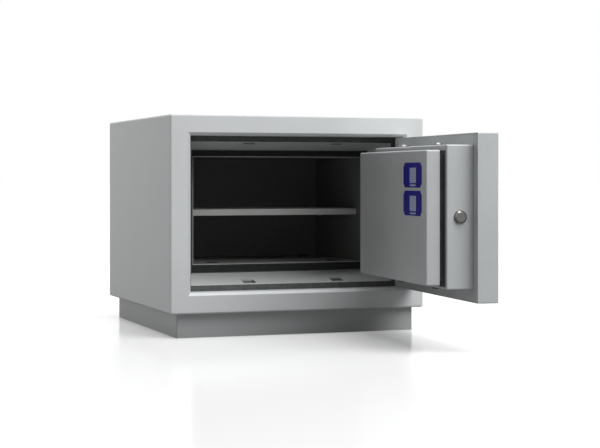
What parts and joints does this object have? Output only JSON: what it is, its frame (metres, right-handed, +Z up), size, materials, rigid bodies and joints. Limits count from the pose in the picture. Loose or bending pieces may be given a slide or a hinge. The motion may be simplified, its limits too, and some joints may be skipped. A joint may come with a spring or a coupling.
{
  "type": "document safe",
  "caption": "Fire-resistant document safe: insulated steel cabinet on a plinth with a stepped swing door, round locking bolts and a loose shelf.",
  "frame": {"origin": "centre of the four floor anchor holes, at floor level under the middle of the body", "axes": "+Z up, +Y from the front towards the back, +X to the right seen from the front"},
  "size_m": [0.606, 1.0947, 0.494],
  "materials": {
    "body_paint": "light grey powder coat with a fine orange-peel",
    "door_paint": "light grey powder coat with a fine orange-peel",
    "inside_paint": "grey powder coat",
    "plinth_paint": "mid grey powder coat",
    "bare_steel": "machined steel, lightly oiled",
    "zinc_steel": "zinc plated",
    "fire_board": "dry mineral board",
    "seal_black": "matt black swelling strip",
    "label_blue": "printed blue with a blank pale field",
    "handle_metal": "satin chrome",
    "black_plastic": "moulded matt"
  },
  "bodies": {
    "cabinet": {"outer_shell": "body_paint", "back_panel": "body_paint", "front_frame": "body_paint", "frame_seal": "seal_black", "frame_board_top": "fire_board", "frame_board_bottom": "fire_board", "frame_board_left": "fire_board", "frame_board_right": "fire_board", "inner_liner": "inside_paint", "fire_board_top": "fire_board", "fire_board_bottom": "fire_board", "fire_board_left": "fire_board", "fire_board_right": "fire_board", "fire_board_back": "fire_board", "bolt_keepers": "zinc_steel", "shelf_studs": "zinc_steel", "plinth_frame": "plinth_paint", "plinth_bolts": "zinc_steel", "plinth_nuts": "zinc_steel", "plinth_crossbars": "plinth_paint", "anchor_tubes": "zinc_steel", "anchor_caps": "black_plastic", "hinge_frame_knuckles": "body_paint", "hinge_pins": "bare_steel"},
    "door": {"door_front_panel": "door_paint", "door_back_plate": "door_paint", "leaf_fire_board": "fire_board", "lock_box": "door_paint", "break_board": "fire_board", "break_seal": "seal_black", "inner_door_box": "door_paint", "inner_fire_board": "fire_board", "upper_label_plate": "label_blue", "lower_label_plate": "label_blue", "bolt_guides": "zinc_steel", "guide_screws": "zinc_steel", "lock_case": "zinc_steel", "lock_cover": "zinc_steel", "lock_levers": "bare_steel", "lock_lever_post": "bare_steel", "lock_deadbolt": "bare_steel", "lock_screws": "zinc_steel", "spindle_bush": "bare_steel", "hinge_door_knuckles": "door_paint", "handle_rose": "handle_metal", "key_escutcheon": "handle_metal", "cover_rivet": "handle_metal"},
    "handle": {"handle_lever": "handle_metal", "handle_spindle": "bare_steel", "bolt_cam": "zinc_steel"},
    "side_bolt": {"side_bolt": "bare_steel", "side_bolt_bar": "zinc_steel"},
    "top_bolts": {"top_bolts": "bare_steel", "top_bolt_bar": "zinc_steel"},
    "bottom_bolts": {"bottom_bolts": "bare_steel", "bottom_bolt_bar": "zinc_steel"},
    "keyhole_cover": {"keyhole_cover": "handle_metal"},
    "shelf": {"shelf": "inside_paint"}
  },
  "joints": [
    {"name": "door_swing", "type": "hinge", "parent": "cabinet", "child": "door", "pos_m": [0.2665, -0.2825, 0.254], "axis": [0, 0, 1], "range_deg": [-85.55, 4.45]},
    {"name": "handle_turn", "type": "hinge", "parent": "door", "child": "handle", "pos_m": [0.25241, -0.6118, 0.26087], "axis": [0.997, -0.0776, 0], "range_deg": [0, 90]},
    {"name": "side_bolt_slide", "type": "slide", "parent": "door", "child": "side_bolt", "axis": [-0.0776, -0.997, 0], "range_m": [0, 0.018]},
    {"name": "top_bolt_slide", "type": "slide", "parent": "door", "child": "top_bolts", "axis": [0, 0, 1], "range_m": [0, 0.018]},
    {"name": "bottom_bolt_slide", "type": "slide", "parent": "door", "child": "bottom_bolts", "axis": [0, 0, -1], "range_m": [0, 0.018]},
    {"name": "keyhole_cover_swing", "type": "hinge", "parent": "door", "child": "keyhole_cover", "pos_m": [0.25241, -0.6118, 0.34287], "axis": [0.997, -0.0776, 0], "range_deg": [-100, 100]},
    {"name": "shelf_lift", "type": "slide", "parent": "cabinet", "child": "shelf", "axis": [0, 0, 1], "range_m": [0, 0.1]}
  ],
  "couplings": [
    {"joint": "side_bolt_slide", "follows": "handle_turn", "m_per_rad": 0.011459},
    {"joint": "top_bolt_slide", "follows": "handle_turn", "m_per_rad": 0.011459},
    {"joint": "bottom_bolt_slide", "follows": "handle_turn", "m_per_rad": 0.011459}
  ]
}
